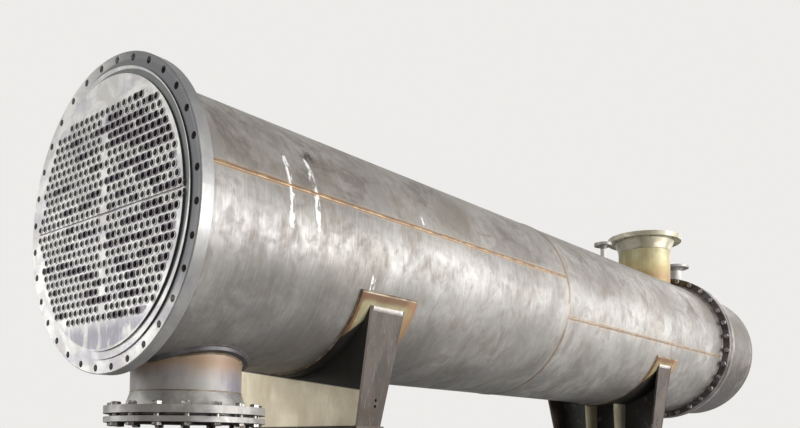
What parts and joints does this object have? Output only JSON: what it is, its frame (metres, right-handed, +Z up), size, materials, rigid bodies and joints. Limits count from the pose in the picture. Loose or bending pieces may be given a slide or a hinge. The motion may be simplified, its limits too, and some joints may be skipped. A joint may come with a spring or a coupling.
{
  "type": "shell and tube heat exchanger",
  "caption": "Horizontal stainless shell and tube heat exchanger on saddles, with an open drilled tubesheet, a bonnet at the rear and flanged nozzles at top and bottom.",
  "frame": {"origin": "middle of the part's length and width, on the plane of the saddle bases", "axes": "+X towards the right flank, +Y along the shell from the open tubesheet to the bonnet, +Z up"},
  "size_m": [1.0299, 5.285, 1.445],
  "materials": {
    "tubesheet_bright": "machined",
    "flange_dark": "heat darkened",
    "flange_bright": "turned",
    "shell_stainless": "brushed, with rolling marks",
    "tube_stainless": "drawn",
    "nozzle_tinted": "heat tinted",
    "weld_tinted": "as welded",
    "nozzle_gold": "heat tinted",
    "nozzle_small": "satin",
    "gasket_dark": "matte",
    "bonnet_satin": "satin",
    "wear_plate_tinted": "heat tinted",
    "saddle_web": "mill finish",
    "saddle_steel": "mill finish"
  },
  "bodies": {
    "root": {"front_tubesheet": "tubesheet_bright", "rear_tubesheet": "flange_dark", "front_shell_course": "shell_stainless", "rear_shell_course": "shell_stainless", "tube_bundle": "tube_stainless", "bottom_nozzle_neck": "nozzle_tinted", "bottom_nozzle_collar": "weld_tinted", "bottom_nozzle_flange": "flange_bright", "bottom_gasket": "gasket_dark", "blind_flange": "flange_bright", "top_nozzle_neck": "nozzle_gold", "top_nozzle_flange": "flange_bright", "shell_vent_neck": "nozzle_small", "shell_vent_flange": "flange_bright", "bonnet_vent_neck": "nozzle_small", "bonnet_vent_flange": "flange_bright", "rear_gasket": "gasket_dark", "bonnet_flange": "flange_bright", "bonnet_barrel": "bonnet_satin", "bonnet_head": "bonnet_satin", "front_wear_plate": "wear_plate_tinted", "front_web": "saddle_web", "front_right_leg": "saddle_steel", "front_left_leg": "saddle_steel", "front_right_rib": "saddle_steel", "front_left_rib": "saddle_steel", "front_base_plate": "saddle_steel", "rear_wear_plate": "wear_plate_tinted", "rear_web": "saddle_web", "rear_right_leg": "saddle_steel", "rear_left_leg": "saddle_steel", "rear_right_rib": "saddle_steel", "rear_left_rib": "saddle_steel", "rear_base_plate": "saddle_steel"}
  },
  "joints": []
}
